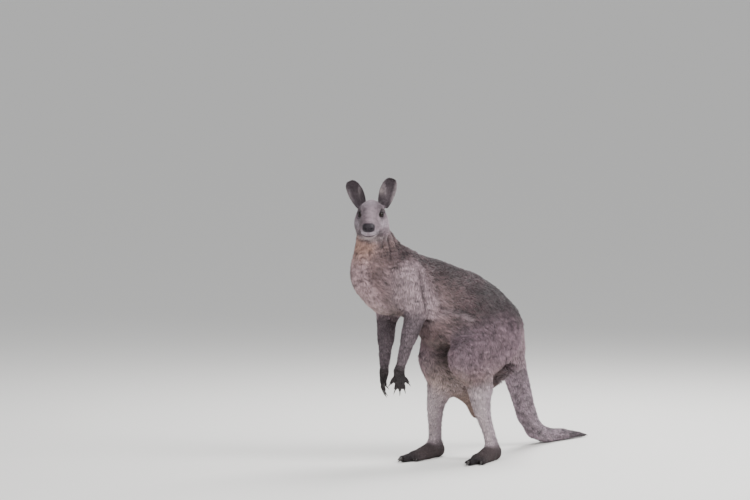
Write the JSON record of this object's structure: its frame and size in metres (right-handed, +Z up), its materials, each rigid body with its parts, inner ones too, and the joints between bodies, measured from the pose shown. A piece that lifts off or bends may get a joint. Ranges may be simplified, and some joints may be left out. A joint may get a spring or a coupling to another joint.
{
  "type": "kangaroo",
  "caption": "Life-size still model of an adult male eastern grey kangaroo, standing on its hind feet with its tail laid on the floor, ears up and head turned to one side.",
  "frame": {"origin": "on the floor, below the middle of the bounding box", "axes": "+Z up, +Y towards the tail, -Y towards the head and chest, +X towards the animal's own left"},
  "size_m": [0.5502, 1.5956, 1.1884],
  "materials": {
    "coat": "short grey-brown fur with pale tips",
    "eye": "wet and glossy, dark brown",
    "claw": "dark horn, satin",
    "nose": "damp bare skin, near black"
  },
  "bodies": {
    "root": {"abdomen": "coat", "chest": "coat", "claw_fifth_finger_left": "claw", "claw_fifth_finger_right": "claw", "claw_fifth_toe_left": "claw", "claw_fifth_toe_right": "claw", "claw_first_finger_left": "claw", "claw_first_finger_right": "claw", "claw_fourth_finger_left": "claw", "claw_fourth_finger_right": "claw", "claw_fourth_toe_left": "claw", "claw_fourth_toe_right": "claw", "claw_second_finger_left": "claw", "claw_second_finger_right": "claw", "claw_second_toe_left": "claw", "claw_second_toe_right": "claw", "claw_third_finger_left": "claw", "claw_third_finger_right": "claw", "claw_third_toe_left": "claw", "claw_third_toe_right": "claw", "ear_left": "coat", "ear_right": "coat", "eye_left": "eye", "eye_right": "eye", "foot_left": "coat", "foot_right": "coat", "forearm_left": "coat", "forearm_right": "coat", "hand_left": "coat", "hand_right": "coat", "head": "coat", "neck": "coat", "nose": "nose", "scrotum": "coat", "shank_left": "coat", "shank_right": "coat", "tail_lower": "coat", "tail_root": "coat", "tail_tip": "coat", "tail_upper": "coat", "thigh_left": "coat", "thigh_right": "coat", "upper_arm_left": "coat", "upper_arm_right": "coat"}
  },
  "joints": []
}
